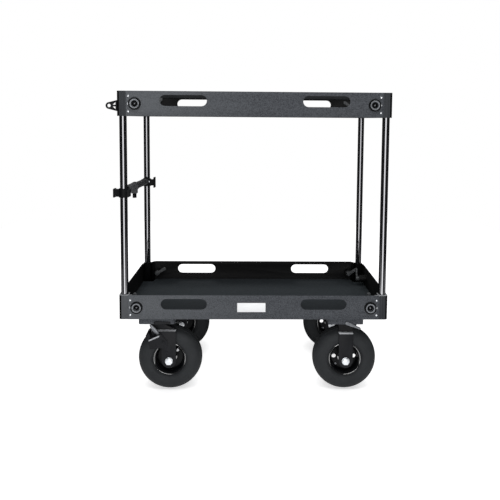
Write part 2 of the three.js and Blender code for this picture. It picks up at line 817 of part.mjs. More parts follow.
// A headed stud on a leg's outer face.
function stud(x, z, side, reach) {
  const root = legHalfWidth - overrun;
  const face = legHalfWidth + reach;
  const shaft = barY(brakePinDiameter / 2, x, z, root, face + brakePinHeadHeight / 2, smallSides);
  const cap = barY(brakePinHead / 2, x, z, face, face + brakePinHeadHeight, smallSides);
  return [shaft, cap].map((part) => solidOf(part.scale(1, side, 1)));
}

function fork(swivel, side) {
  const trail = swivel ? swivelTrail : 0;
  const crownTop = swivel ? crownTopSwivel : blockBottom + overrun;
  const shelf = swivel ? swivelShelfHeight : fixedShelfHeight;
  const section = slabX(forkSection(crownTop, shelf), -wheelRadius, wheelRadius);
  const profile = slabY(forkSide(swivel, crownTop, trail), -wheelRadius, wheelRadius, fineSteps);
  let body = solidOf(section).intersect(solidOf(profile));
  const axleHole = barY(holeRadius(axleDiameter, tubeSides), trail, wheelRadius, -wheelRadius, wheelRadius);
  body = body.subtract(solidOf(axleHole));
  if (swivel) {
    const kingpinHole = barZ(holeRadius(kingpinDiameter, smallSides), 0, 0, wheelRadius, crownTop + overrun, smallSides);
    const pivot = stud(brakePivotX, brakePivotHeight, side, clearance * 2 + brakePlateThickness);
    const bolt = stud(brakeBoltX, brakeBoltHeight, side, 0);
    body = joined([body.subtract(solidOf(kingpinHole)), ...pivot, ...bolt]);
  } else {
    body = body.add(solidOf(casterPlate()));
  }
  return geometryOf(body);
}

function casterPlate() {
  const shape = roundedRectangle(casterPlateLength / 2, casterPlateWidth / 2, blockCorner);
  return slabZ(shape, blockBottom, blockBottom + casterPlateThickness, coarseSteps);
}

// The swivel head: plate, ball race and kingpin, which hold the fork's crown between them.
function swivelHead() {
  const nutTop = crownTopSwivel - crownThickness - clearance;
  const race = barZ(raceDiameter / 2, 0, 0, blockBottom - raceHeight, blockBottom + overrun);
  const pin = barZ(kingpinDiameter / 2, 0, 0, nutTop - overrun, blockBottom, smallSides);
  const nut = barZ(kingpinNutDiameter / 2, 0, 0, nutTop - kingpinNutHeight, nutTop, nutSides);
  return geometryOf(joined([casterPlate(), race, pin, nut].map(solidOf)));
}

function axle() {
  const outer = legHalfWidth + clearance;
  const shaft = barY(axleDiameter / 2, 0, 0, -outer - overrun, outer + overrun, tubeSides);
  const nuts = [-1, 1].map((side) => {
    const nut = barY(nutAcrossCorners / 2, 0, 0, outer, outer + nutThickness, nutSides);
    return solidOf(nut.scale(1, side, 1));
  });
  return geometryOf(joined([solidOf(shaft), ...nuts]));
}

function rim(turn) {
  const bore = holeRadius(axleDiameter, rimSides);
  const hub = hubDiameter / 2;
  const barrel = barrelDiameter / 2;
  const inner = barrel - barrelWall;
  const lip = flangeDiameter / 2;
  const web = webThickness / 2;
  const half = [
    [bore, hubHalfLength],
    [hub, hubHalfLength],
    [hub, web],
    [inner, web],
    [inner, seatHalfWidth],
    [lip, rimHalfWidth],
    [lip, rimHalfWidth - flangeThickness],
    [barrel, seatHalfWidth],
  ];
  const mirrored = half.map(([r, y]) => [r, -y]).reverse();
  const profile = [...half, ...mirrored, half[0]].map(([r, y]) => new THREE.Vector2(r, y));
  const ring = solidOf(new THREE.LatheGeometry(profile, rimSides));
  const holes = [];
  for (let i = 0; i < rimHoles; i += 1) {
    const angle = turn + (i * Math.PI * 2) / rimHoles;
    const x = (rimHoleCircle / 2) * Math.cos(angle);
    const z = (rimHoleCircle / 2) * Math.sin(angle);
    holes.push(solidOf(barY(rimHoleDiameter / 2, x, z, -webThickness, webThickness, smallSides)));
  }
  return geometryOf(cut(ring, holes));
}

// The tyre's facets lie on its real radius, and one of them is flat on the floor.
function tyre() {
  const seat = barrelDiameter / 2 + clearance;
  const lip = flangeDiameter / 2 + clearance;
  const half = [
    [wheelRadius, tyreTreadHalfWidth],
    [wheelRadius - tyreShoulderDepth, tyreShoulderHalfWidth],
    [wheelRadius - tyreUpperDepth, tyreUpperHalfWidth],
    [wheelRadius - tyreWidestDepth, tyreHalfWidth],
    [lip, rimHalfWidth - flangeThickness - clearance * 2],
    [seat, seatHalfWidth - clearance * 2],
  ];
  const mirrored = half.map(([r, y]) => [r, -y]).reverse();
  const step = Math.PI / wheelSides;
  const flat = (radius) => radius / Math.cos(step);
  const profile = [...half, ...mirrored, half[0]].map(([r, y]) => new THREE.Vector2(flat(r), y));
  return new THREE.LatheGeometry(profile, wheelSides).rotateY(step);
}

// Brake lever: a plate outside the leg, a foot pedal bent outwards and a shoe over the tread.
function brakeLever(side) {
  const near = legHalfWidth + clearance;
  const far = near + brakePlateThickness;
  const shape = outline([
    [pedalLowX, brakeFootHeight],
    [brakePivotX - brakePinHead / 2, brakeFootHeight + brakePlateThickness],
    [brakePivotX + brakePinHead, brakePivotHeight - brakePinHead],
    [brakePivotX + brakePinHead, brakePivotHeight + brakePinHead / 2],
    [brakePivotX + brakePinHead / 2, brakePivotHeight + brakePinHead],
    [pedalHighX, pedalHighHeight],
    [pedalLowX, pedalLowHeight],
  ]);
  const hole = new THREE.Path();
  hole.absarc(brakePivotX, brakePivotHeight, holeRadius(brakePinDiameter, fineSteps * 2), 0, Math.PI * 2);
  shape.holes.push(hole);
  const plate = slabY(shape, near, far, fineSteps);
  const run = pedalHighX - pedalLowX;
  const rise = pedalHighHeight - pedalLowHeight;
  const length = Math.hypot(run, rise);
  const drop = (pedalThickness * length) / run;
  const pedalShape = outline([
    [pedalLowX, pedalLowHeight],
    [pedalHighX, pedalHighHeight],
    [pedalHighX, pedalHighHeight - drop],
    [pedalLowX, pedalLowHeight - drop],
  ]);
  const pedal = slabY(pedalShape, near, far + pedalReach);
  const shoeCentre = new THREE.Vector2(swivelTrail, wheelRadius);
  const outwards = new THREE.Vector2(Math.cos(shoeTurn), Math.sin(shoeTurn));
  const along = new THREE.Vector2(outwards.y, -outwards.x);
  const shoePoint = (radius, reach) => {
    const point = shoeCentre.clone().addScaledVector(outwards, radius).addScaledVector(along, reach);
    return [point.x, point.y];
  };
  const inner = wheelRadius + shoeGap;
  const outer = inner + shoeThickness;
  const half = shoeLength / 2;
  const [low, high] = [shoePoint(inner, -half), shoePoint(inner, half)];
  const shoe = slabY(outline([low, high, shoePoint(outer, half), shoePoint(outer, -half)]), -shoeHalfSpan, far);
  const armFoot = [pedalLowX + brakePinHead, brakePivotHeight];
  const arm = slabY(outline([low, [pedalLowX, brakeFootHeight], armFoot, shoePoint(outer, half)]), near, far);
  const lever = geometryOf(joined([plate, pedal, shoe, arm].map(solidOf)));
  return geometryOf(solidOf(lever.scale(1, side, 1)));
}

for (const { name, x, side, swivel } of casterPlaces) {
  const caster = new THREE.Group();
  caster.position.set(x, side * casterPlaceY, 0);
  const wheelX = swivel ? swivelTrail : 0;
  if (swivel) {
    piece(caster, `${name}_swivel_head`, swivelHead(), blackSteel());
    piece(caster, `${name}_brake_lever`, brakeLever(side), blackSteel());
  }
  piece(caster, `${name}_fork`, fork(swivel, side), blackSteel());
  piece(caster, `${name}_axle`, axle(), zinc(), wheelX, 0, wheelRadius);
  piece(caster, `${name}_rim`, rim(swivel ? swivelRimTurn : 0), rimGloss(), wheelX, 0, wheelRadius);
  piece(caster, `${name}_tyre`, tyre(), tyreRubber(), wheelX, 0, wheelRadius);
  cart.add(caster);
}

const root = new THREE.Group();
root.add(cart);

export default root;
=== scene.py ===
import bpy
import bmesh
import json
import math
from mathutils import Matrix, Vector


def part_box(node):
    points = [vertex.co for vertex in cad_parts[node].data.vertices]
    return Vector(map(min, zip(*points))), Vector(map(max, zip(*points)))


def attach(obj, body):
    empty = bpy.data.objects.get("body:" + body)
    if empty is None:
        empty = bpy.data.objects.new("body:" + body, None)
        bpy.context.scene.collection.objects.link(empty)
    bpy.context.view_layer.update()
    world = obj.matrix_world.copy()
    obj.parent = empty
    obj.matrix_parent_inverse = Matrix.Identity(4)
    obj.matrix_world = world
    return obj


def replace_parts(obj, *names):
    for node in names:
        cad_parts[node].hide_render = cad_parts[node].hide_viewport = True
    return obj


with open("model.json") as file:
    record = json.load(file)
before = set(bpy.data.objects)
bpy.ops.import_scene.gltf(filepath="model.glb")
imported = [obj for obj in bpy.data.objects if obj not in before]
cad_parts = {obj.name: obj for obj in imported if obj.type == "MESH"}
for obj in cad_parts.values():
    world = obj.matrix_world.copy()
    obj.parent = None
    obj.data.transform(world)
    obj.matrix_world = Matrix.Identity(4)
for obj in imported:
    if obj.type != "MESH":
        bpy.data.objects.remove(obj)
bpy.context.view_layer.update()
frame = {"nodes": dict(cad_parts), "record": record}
nodes = frame["nodes"]
node_body = {node: body for body, names in frame["record"]["behaviour"]["bodies"].items() for node in names}
node_slot = {entry["node"]: entry["material_slot"] for entry in frame["record"]["subparts"]}
MM = 0.001

# %% [markdown]
# ## Camera
# The picture was taken with the camera at the height of the top tray and tipped down a little.
# Its optical axis lies above the middle of the picture, which the lens shift repeats.
# %% Camera
CAMERA_PLACE = Vector((0.0013, -2.47662, 1.08054))
PITCH_DOWN = 0.0791
YAW_RIGHT = 0.0174
ROLL = 0.0073
camera = bpy.data.objects.new("camera", bpy.data.cameras.new("camera"))
camera.data.sensor_width = 36
camera.data.lens = 41.73
camera.data.shift_x = -0.0211
camera.data.shift_y = -0.1703
aim = Matrix.Rotation(-YAW_RIGHT, 4, "Z") @ Matrix.Rotation(math.pi / 2 - PITCH_DOWN, 4, "X")
camera.matrix_world = Matrix.Translation(CAMERA_PLACE) @ aim @ Matrix.Rotation(ROLL, 4, "Z")
bpy.context.scene.collection.objects.link(camera)
bpy.context.scene.camera = camera
print("camera", round(camera.data.lens, 2), "mm lens")

# %% [markdown]
# ## Shader maths
# A finish is a small network of nodes. Writing it as sums of fields keeps it readable, so one class wraps
# a socket and gives it plus, minus and times, and one method makes any other node.
# %% Fields and finishes
class Field:
    """A number that varies over a surface: an output socket with arithmetic."""

    def __init__(self, finish, socket):
        self.finish = finish
        self.socket = socket

    def _math(self, operation, *values):
        node = self.finish.node("ShaderNodeMath", {"operation": operation}, dict(enumerate(values)))
        return Field(self.finish, node.outputs[0])

    def __add__(self, other):
        return self._math("ADD", self, other)

    def __sub__(self, other):
        return self._math("SUBTRACT", self, other)

    def __mul__(self, other):
        return self._math("MULTIPLY", self, other)

    def __rsub__(self, other):
        return self._math("SUBTRACT", other, self)

    __radd__ = __add__
    __rmul__ = __mul__

    def over(self, edge):
        return self._math("GREATER_THAN", self, edge)

    def under(self, edge):
        return self._math("LESS_THAN", self, edge)

    def size(self):
        return self._math("ABSOLUTE", self)

    def most(self, other):
        return self._math("MAXIMUM", self, other)

    def wave(self):
        return self._math("SINE", self)

    def ramp(self, low, high):
        """0 below low, 1 above high, straight between."""
        limits = {"Value": self, "From Min": low, "From Max": high}
        node = self.finish.node("ShaderNodeMapRange", {"clamp": True}, limits)
        return Field(self.finish, node.outputs["Result"])


class Finish:
    """One procedural material on object coordinates."""

    def __init__(self, name):
        self.material = bpy.data.materials.new(name)
        self.material.use_nodes = True
        self.tree = self.material.node_tree
        self.shader = self.tree.nodes["Principled BSDF"]
        self.place = self.node("ShaderNodeTexCoord", {}, {}).outputs["Object"]

    def node(self, kind, settings, inputs):
        node = self.tree.nodes.new(kind)
        for key, value in settings.items():
            setattr(node, key, value)
        for key, value in inputs.items():
            self.join(value, node.inputs[key])
        return node

    def join(self, value, socket):
        if isinstance(value, Field):
            self.tree.links.new(value.socket, socket)
        elif isinstance(value, bpy.types.NodeSocket):
            self.tree.links.new(value, socket)
        else:
            socket.default_value = value

    def axis(self, letter):
        node = self.node("ShaderNodeSeparateXYZ", {}, {0: self.place})
        return Field(self, node.outputs[letter])

    def noise(self, scale, detail=2.0, roughness=0.5, stretch=(1, 1, 1)):
        mapped = self.node("ShaderNodeMapping", {}, {"Vector": self.place, "Scale": stretch})
        look = {"Vector": mapped.outputs[0], "Scale": scale, "Detail": detail, "Roughness": roughness}
        node = self.node("ShaderNodeTexNoise", {}, look)
        return Field(self, node.outputs[0])

    def cells(self, scale):
        node = self.node("ShaderNodeTexVoronoi", {}, {"Vector": self.place, "Scale": scale})
        return Field(self, node.outputs["Distance"])

    def blend(self, mask, one, other):
        """Colour one where the mask is 0 and the other where it is 1."""
        node = self.node("ShaderNodeMix", {"data_type": "RGBA"}, {"Factor": mask})
        self.join(one, node.inputs[6])
        self.join(other, node.inputs[7])
        return node.outputs[2]

    def set(self, **values):
        for key, value in values.items():
            self.join(value, self.shader.inputs[key.replace("_", " ")])

    def bump(self, height, distance, strength=1.0):
        node = self.node("ShaderNodeBump", {}, {"Height": height, "Distance": distance, "Strength": strength})
        self.join(node.outputs[0], self.shader.inputs["Normal"])


def grey(red, green, blue):
    """A screen colour from 0 to 255 as the linear colour that shaders use."""
    def linear(value):
        share = value / 255
        return share / 12.92 if share <= 0.04045 else ((share + 0.055) / 1.055) ** 2.4
    return (linear(red), linear(green), linear(blue), 1.0)


print("shader helpers ready")

# %% [markdown]
# ## Powder coat
# The trays and mounting blocks are sheet and plate under a speckled powder coat. Outside it is grey, with
# painted light
# making the trays lighter towards the left, and inside the trays painted shade makes it darker. Both are one
# finish:
# where a face lies tells whether it takes the painted shade.
# %% Powder coat
MIDDLE = 0.0175
TRAY_HALF_LENGTH = 0.523
TRAY_HALF_WIDTH = 0.2725
HALF_SHEET = 0.0015
INSIDE_FROM = 0.3015
LEFT_LIGHT_ABOVE = 0.301
LEFT_LIGHT_RIGHT_END = 0.05
LEFT_LIGHT_LEFT_END = -0.45

powder = Finish("speckled_powder_coat")
across = (powder.axis("X") - MIDDLE).size()
deep = powder.axis("Y").size()
# Painted shade: faces inside the trays take a darker copy of the coat.
shaded_inside = across.under(TRAY_HALF_LENGTH - HALF_SHEET) * deep.under(TRAY_HALF_WIDTH - HALF_SHEET)
shaded_inside = shaded_inside * powder.axis("Z").over(INSIDE_FROM)
speck = powder.noise(300, 3, 0.8)
blotch = powder.noise(130, 2, 0.6)
grain = powder.noise(1500, 1, 0.5)
# Painted light: the trays' outside grows lighter towards the left end.
painted_left_light = powder.axis("X").ramp(LEFT_LIGHT_RIGHT_END, LEFT_LIGHT_LEFT_END) * powder.axis("Z").over(LEFT_LIGHT_ABOVE)
lit_outer = powder.blend(speck.ramp(0.38, 0.62), grey(32, 35, 40), grey(81, 84, 89))
lit_outer = powder.blend(blotch.ramp(0.42, 0.6) * 0.35, lit_outer, grey(79, 82, 87))
lit_outer = powder.blend(painted_left_light * 0.3, lit_outer, grey(118, 121, 124))
shaded_inner = powder.blend(speck.ramp(0.4, 0.7), grey(6, 6, 7), grey(14, 14, 16))
powder.set(
    Base_Color=powder.blend(shaded_inside, lit_outer, shaded_inner),
    Roughness=0.55 + speck * 0.2,
    Specular_IOR_Level=0.25,
)
powder.bump(speck * 0.7 + grain * 0.3, 0.0004, 0.5)
print("powder coat ready")

# %% [markdown]
# ## Other coats on metal
# The corner blocks are satin extrusions with faint upright drawing lines, and a painted highlight pales the
# lit tops of the lower ones. Painted shade makes them dark inside the trays and at their outer edges, and
# painted light makes them lighter at the lower left. The posts are a dark mirror. The casters have a satin
# enamel, with painted highlights at the forks' bends and the pedals' fronts, and painted shade near black
# above the fixed forks' bends. The rims are black, and a clear coat on their lips and hubs catches the light.
# %% Enamels
EDGE_FROM = TRAY_HALF_LENGTH - 0.011
EDGE_TO = TRAY_HALF_LENGTH - 0.008
LIT_TOP_FROM = 0.3958
LIT_TOP_TO = 0.4
corner = Finish("satin_extrusion")
lines = corner.noise(220, 2, 0.6, (1, 1, 0.02))
dust = corner.noise(25, 3, 0.6)
# Painted shade: the blocks' outer edges, and their faces inside the trays, go near black.
edge = (corner.axis("X") - MIDDLE).size().ramp(EDGE_FROM, EDGE_TO)
shade_in_trays = corner.axis("Y").size().under(TRAY_HALF_WIDTH - HALF_SHEET)
# Painted highlight: a pale band at the lit tops of the lower corner blocks.
painted_top_highlight = corner.axis("Z").over(LIT_TOP_FROM) * corner.axis("Z").under(LIT_TOP_TO)
lit_shaded_face = corner.blend(lines.ramp(0.3, 0.7), grey(47, 49, 52), grey(66, 68, 71))
# Painted light: the blocks grow lighter towards the lower left.
painted_light_lower_left = corner.axis("X").ramp(0.3, -0.3) * corner.axis("Z").ramp(0.6, 0.4)
lit_shaded_face = corner.blend(painted_light_lower_left * 0.4, lit_shaded_face, grey(112, 114, 117))
lit_shaded_face = corner.blend(edge.most(shade_in_trays), lit_shaded_face, grey(5, 5, 6))
corner.set(
    Base_Color=corner.blend(painted_top_highlight, lit_shaded_face, grey(168, 170, 173)),
    Roughness=0.42 + dust * 0.15 + edge * 0.3,
    Specular_IOR_Level=0.04,
)
corner.bump(lines, 0.0002, 0.4)

gloss = Finish("gloss_tube_enamel")
smear = gloss.noise(12, 2, 0.5, (1, 1, 0.2))
gloss.set(
    Base_Color=gloss.blend(smear.ramp(0.3, 0.8), grey(126, 126, 128), grey(118, 118, 121)),
    Metallic=1.0,
    Roughness=0.05 + smear * 0.04,
    Specular_Tint=(0, 0, 0, 1),
)

FIXED_BEND_FROM = 0.2372
FIXED_BEND_TO = 0.2406
SWIVEL_BEND_FROM = 0.2484
SWIVEL_BEND_TO = 0.2496
PEDAL_FRONT = 0.2838
satin = Finish("satin_caster_enamel")
patch = satin.noise(30, 4, 0.6)
fleck = satin.noise(600, 2, 0.5)
enamel = satin.blend(patch.ramp(0.25, 0.8), grey(13, 14, 17), grey(24, 25, 29))
height, along = satin.axis("Z"), satin.axis("X")
# Painted shade: the fixed forks above their bends, under the mounting blocks, go near black.
enamel = satin.blend(along.over(0) * height.over(FIXED_BEND_TO), enamel, grey(2, 2, 3))
# Painted highlight: pale bands at the forks' bends and on the pedals' fronts.
painted_highlight = along.over(0) * height.over(FIXED_BEND_FROM) * height.under(FIXED_BEND_TO)
painted_highlight = painted_highlight.most(along.under(0) * height.over(SWIVEL_BEND_FROM) * height.under(SWIVEL_BEND_TO))
painted_highlight = painted_highlight.most(satin.axis("Y").size().over(PEDAL_FRONT))
satin.set(
    Base_Color=satin.blend(painted_highlight, enamel, grey(178, 180, 184)),
    Roughness=0.42 + patch * 0.2,
    Specular_IOR_Level=0.16,
)
satin.bump(fleck * 0.5 + patch * 0.5, 0.0003, 0.35)

AXLES_MIDDLE = 0.0335
AXLES_HALF_SPAN = 0.349
AXLE_HEIGHT = 0.127
LIP_FROM = 0.058
LIP_TO = 0.061
HUB_TO = 0.026


def past_axle(finish):
    """How far a place lies from the nearest axle along the cart, below 0 towards the cart's middle."""
    return (finish.axis("X") - AXLES_MIDDLE).size() - AXLES_HALF_SPAN


wheel_gloss = Finish("gloss_rim_enamel")
swirl = wheel_gloss.noise(40, 3, 0.5)
off_axle = past_axle(wheel_gloss)
off_level = wheel_gloss.axis("Z") - AXLE_HEIGHT
off_centre = off_axle * off_axle + off_level * off_level
lip = off_centre.ramp(LIP_FROM ** 2, LIP_TO ** 2).most(off_centre.under(HUB_TO ** 2))
wheel_gloss.set(
    Base_Color=wheel_gloss.blend(swirl.ramp(0.3, 0.8), grey(5, 6, 8), grey(13, 14, 17)),
    Roughness=0.3 + swirl * 0.12,
    Specular_IOR_Level=0.12,
    Coat_Weight=lip,
    Coat_Roughness=0.08,
    Coat_IOR=3.0,
)
wheel_gloss.bump(swirl, 0.0003, 0.3)
print("enamels ready")

# %% [markdown]
# ## Bare and plated metal
# Axle nuts, rivets and the handle's cross bolt are bright zinc. The fixed casters' release levers, the brake
# leaves, the rim bolts and the screws in the ports are duller pressed steel, and the port mouths are turned
# aluminium with fine rings.
# %% Metals
zinc = Finish("bright_zinc")
bloom = zinc.noise(90, 3, 0.6)
scratch = zinc.noise(500, 2, 0.6, (1, 0.1, 1))
zinc.set(
    Base_Color=zinc.blend(bloom.ramp(0.3, 0.75), grey(226, 228, 230), grey(196, 200, 205)),
    Metallic=1.0,
    Roughness=0.34 + bloom * 0.2,
)
zinc.bump(scratch, 0.0001, 0.3)

dull = Finish("dull_pressed_steel")
film = dull.noise(120, 3, 0.6)
dull.set(
    Base_Color=dull.blend(film.ramp(0.3, 0.75), grey(98, 100, 104), grey(124, 126, 130)),
    Metallic=0.7,
    Roughness=0.38 + film * 0.15,
)
dull.bump(film, 0.0001, 0.3)

turned_metal = Finish("turned_aluminium")
rings = (turned_metal.noise(700, 1, 0.5) * 6.0).wave()
turned_metal.set(
    Base_Color=turned_metal.blend(rings.ramp(-1, 1), grey(92, 95, 99), grey(120, 123, 127)),
    Metallic=0.5,
    Roughness=0.38 + rings * 0.05,
)
print("metals ready")

# %% [markdown]
# ## Rubber, plastic and the plain plate
# The mat is a rubber sheet with a fine checked weave, of waves 5 mm long both ways, and painted shade darkens
# it towards the front, under the front wall. The tyres are dusty rubber, and the levers, clamps and grip are
# grained mouldings. The plate on the bottom tray is plain white.
# %% Rubber and plastic
WEAVE_RADIANS = 1250
FRONT_SHADE_FROM = -0.15
mat = Finish("textured_mat")
checks = (mat.axis("X") * WEAVE_RADIANS).wave() * (mat.axis("Y") * WEAVE_RADIANS).wave()
checks = checks.ramp(-1, 1)
lint = mat.noise(140, 4, 0.7)
weave = lint.ramp(0.3, 0.75) * 0.8 + checks * 0.2
# Painted shade: the nap is darker towards the front wall, which shades it.
lit_nap = mat.blend(weave, grey(44, 49, 52), grey(70, 76, 80))
shaded_nap = mat.blend(weave, grey(34, 37, 40), grey(52, 57, 61))
mat.set(
    Base_Color=mat.blend(mat.axis("Y").ramp(0, FRONT_SHADE_FROM), lit_nap, shaded_nap),
    Roughness=0.72 + lint * 0.2,
    Specular_IOR_Level=0.15,
)
mat.bump(checks * 0.8 + lint * 0.2, 0.0005, 0.6)

rubber = Finish("tyre_rubber")
bloom_rubber = rubber.noise(18, 3, 0.6)
pore = rubber.noise(900, 2, 0.6)
rubber.set(
    Base_Color=rubber.blend(bloom_rubber.ramp(0.25, 0.8), grey(36, 38, 40), grey(50, 52, 54)),
    Roughness=0.6 + bloom_rubber * 0.2,
    Specular_IOR_Level=0.2,
)
rubber.bump(pore, 0.0003, 0.5)

lever_black = Finish("glass_filled_lever")
rub = lever_black.noise(70, 4, 0.6)
lever_black.set(
    Base_Color=lever_black.blend(rub.ramp(0.3, 0.8), grey(58, 60, 62), grey(88, 90, 93)),
    Roughness=0.35 + rub * 0.2,
)
lever_black.bump(lever_black.cells(900), 0.0002, 0.3)

moulding = Finish("grained_moulding")
leather = moulding.cells(900)
scuff = moulding.noise(60, 4, 0.65)
moulding.set(
    Base_Color=moulding.blend(scuff.ramp(0.3, 0.8), grey(7, 8, 9), grey(18, 19, 21)),
    Roughness=0.4 + scuff * 0.25,
    Specular_IOR_Level=0.1,
)
moulding.bump(leather, 0.0003, 0.35)

grip = Finish("ribbed_grip")
wear = grip.noise(50, 4, 0.6)
grip.set(
    Base_Color=grip.blend(wear.ramp(0.3, 0.75), grey(64, 65, 67), grey(92, 93, 96)),
    Roughness=0.55 + wear * 0.2,
)
grip.bump(grip.noise(800, 2, 0.6), 0.0002, 0.4)

plain_white = Finish("plain_white_plate")
plate_grain = plain_white.noise(300, 2, 0.5)
plain_white.set(
    Base_Color=plain_white.blend(plate_grain.ramp(0.2, 0.9), grey(248, 249, 250), grey(240, 242, 244)),
    Roughness=0.35 + plate_grain * 0.1,
)
print("rubber and plastics ready")

# %% [markdown]
# ## A finish for each piece
# The record gives every piece a slot, so one table pairs slots with finishes, and the pieces that aren't
# rebuilt below get theirs at once.
# %% Slots
FINISHES = {
    "tray_coat": powder,
    "corner_coat": corner,
    "post_gloss": gloss,
    "mat_rubber": mat,
    "lever_black": lever_black,
    "block_coat": powder,
    "zinc": zinc,
    "caster_steel": satin,
    "rim_gloss": wheel_gloss,
    "tyre_black": rubber,
    "label_white": plain_white,
    "handle_black": moulding,
    "grip_black": grip,
}


def finish_of(name):
    """The fixed casters' release levers are bare steel. The others and the eye brackets are enamelled."""
    if "right_release_lever" in name:
        return dull
    if "left_release_lever" in name or "handle_bracket" in name:
        return satin
    return FINISHES[node_slot[name]]


for name, piece in nodes.items():
    piece.data.materials.clear()
    piece.data.materials.append(finish_of(name).material)
print(len(nodes), "pieces finished")

# %% [markdown]
# ## From a mesh in work to a piece
# Every new piece ends the same way: doubles are merged, faces turn outwards, round faces shade smoothly,
# and the piece gets its finish and the body that it rides on. Profiles and most places below are written in
# millimetres, and MM turns them into metres.
# %% Finishing a piece
def done(work, name, body, finish, smooth=32):
    """Makes a mesh in work a piece with its finish and body. Edges over smooth degrees stay sharp."""
    bmesh.ops.remove_doubles(work, verts=work.verts, dist=1e-6)
    bmesh.ops.recalc_face_normals(work, faces=work.faces)
    mesh = bpy.data.meshes.new(name)
    work.to_mesh(mesh)
    work.free()
    mesh.shade_smooth()
    mesh.set_sharp_from_angle(angle=math.radians(smooth))
    mesh.materials.append(finish.material)
    piece = bpy.data.objects.new(name, mesh)
    bpy.context.scene.collection.objects.link(piece)
    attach(piece, body)
    return piece


def turned(work, profile, centre, axis, steps=48):
    """Turns a profile about an axis. It is a list of (radius, station) in millimetres, closed if it ends
    where it starts."""
    axis = Vector(axis)
    outwards = Vector((0, 0, 1)) if abs(axis.z) < 0.5 else Vector((1, 0, 0))
    points = [Vector(centre) + (outwards * radius + axis * station) * MM for radius, station in profile]
    closed = profile[0] == profile[-1]
    corners = [work.verts.new(point) for point in (points[:-1] if closed else points)]
    pairs = list(zip(corners, corners[1:] + corners[:1] if closed else corners[1:]))
    edges = [work.edges.new(pair) for pair in pairs]
    bmesh.ops.spin(
        work, geom=corners + edges, cent=centre, axis=axis, angle=2 * math.pi, steps=steps,
        use_merge=True, use_duplicate=False,
    )


def sided(profile, side, seat=0):
    """A profile moved out to a seat, and mirrored if the side is -1."""
    return [(radius, side * (seat + station)) for radius, station in profile]


def stretched(x, y, z):
    """The matrix that gives a unit shape its lengths in millimetres."""
    return Matrix.Diagonal((x * MM, y * MM, z * MM, 1))


print("piece helpers ready")

# %% [markdown]
# ## Rounded edges
# No real edge is perfectly sharp: a small bevel catches a line of light. A copy of each stamped, cast or
# moulded piece is merged, its flat faces are joined, and its sharp edges are bevelled. The copy then stands
# for the piece.
# %% Rounded copies
BEVELS = {
    "tray_coat": 0.5,
    "corner_coat": 0.7,
    "block_coat": 1.0,
    "lever_black": 1.2,
    "zinc": 0.6,
    "caster_steel": 0.8,
    "label_white": 0.25,
    "handle_black": 1.0,
}
FLAT_DEGREES = 1
SHARP_DEGREES = 40


def rounded(name):
    """Makes a bevelled copy of a node, which stands for it."""
    work = bmesh.new()
    work.from_mesh(nodes[name].data)
    bmesh.ops.remove_doubles(work, verts=work.verts, dist=1e-5)
    bmesh.ops.dissolve_limit(work, angle_limit=math.radians(FLAT_DEGREES), verts=work.verts, edges=work.edges)
    least = math.radians(SHARP_DEGREES)
    sharp = [edge for edge in work.edges if edge.is_manifold and edge.calc_face_angle() > least]
    slot = node_slot[name]
    bmesh.ops.bevel(
        work, geom=sharp, offset=BEVELS[slot] * MM, offset_type="OFFSET", affect="EDGES",
        segments=2, profile=0.5, material=-1, clamp_overlap=True,
    )
    piece = done(work, name + "_rounded", node_body[name], finish_of(name))
    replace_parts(piece, name)


rounded_names = [name for name in nodes if node_slot[name] in BEVELS and not name.endswith("_axle")]
for name in rounded_names:
    rounded(name)
print(len(rounded_names), "pieces rounded")

# %% [markdown]
# ## Tyres
# Pneumatic caster tyres have a round crown with shallow grooves around it and a soft bulge down to the rim.
# A tyre is the same all round, so half of its section is drawn, mirrored and spun about the axle.
# %% Tyres
WHEELS = {name.removesuffix("_tyre"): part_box(name) for name in nodes if name.endswith("_tyre")}
TYRE_RADIUS = 127
TYRE_HALF_WIDTH = 43
BULGE_RADIUS = 85
BEAD_RADIUS = 64.8
BEAD_HALF_WIDTH = 29.4
SEAT_RADIUS = 57.6
SEAT_HALF_WIDTH = 25
CROWN_POWER = 2.3
GROOVES = (8, 20)
GROOVE_HALF_WIDTH = 1.6
GROOVE_DEPTH = 2.2


def middle(box):
    """The middle of a box, in metres."""
    return (Vector(box[0]) + Vector(box[1])) / 2


def crown(station):
    """The tyre's radius at a station: a superellipse, flatter on top than a circle."""
    share = min(1, abs(station) / TYRE_HALF_WIDTH)
    return BULGE_RADIUS + (TYRE_RADIUS - BULGE_RADIUS) * (1 - share ** CROWN_POWER) ** (1 / CROWN_POWER)


def tyre_half():
    """Half of the section, as (radius, station), from the middle of the tread to the bead inside the rim."""
    half = [(crown(0), 0)]
    for groove in GROOVES:
        rim_side, tread_side = groove + GROOVE_HALF_WIDTH, groove - GROOVE_HALF_WIDTH
        half += [(crown(tread_side), tread_side), (crown(tread_side) - GROOVE_DEPTH, tread_side + 0.5)]
        half += [(crown(rim_side) - GROOVE_DEPTH, rim_side - 0.5), (crown(rim_side), rim_side)]
    for station in (24, 28, 31, 34, 36.5, 38.5, 40, 41.2, 42.2, 42.8):
        half.append((crown(station), station))
    span, fall = TYRE_HALF_WIDTH - BEAD_HALF_WIDTH, BULGE_RADIUS - BEAD_RADIUS
    for step in range(9):
        turn = math.radians(10 * step)
        ring = 0.9 if step in (3, 4) else 0
        half.append((BULGE_RADIUS - fall * math.sin(turn), BEAD_HALF_WIDTH + ring + span * math.cos(turn)))
    return half + [(BEAD_RADIUS, BEAD_HALF_WIDTH - 2), (SEAT_RADIUS, SEAT_HALF_WIDTH), (SEAT_RADIUS, 0)]


for wheel, box in WHEELS.items():
    half = tyre_half()
    other = [(radius, -station) for radius, station in reversed(half[1:-1])]
    work = bmesh.new()
    turned(work, half + other + half[:1], middle(box), (0, 1, 0), 96)
    tyre = done(work, wheel + "_tyre_fine", node_body[wheel + "_tyre"], rubber, 40)
    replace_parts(tyre, wheel + "_tyre")
print(len(WHEELS), "tyres spun")

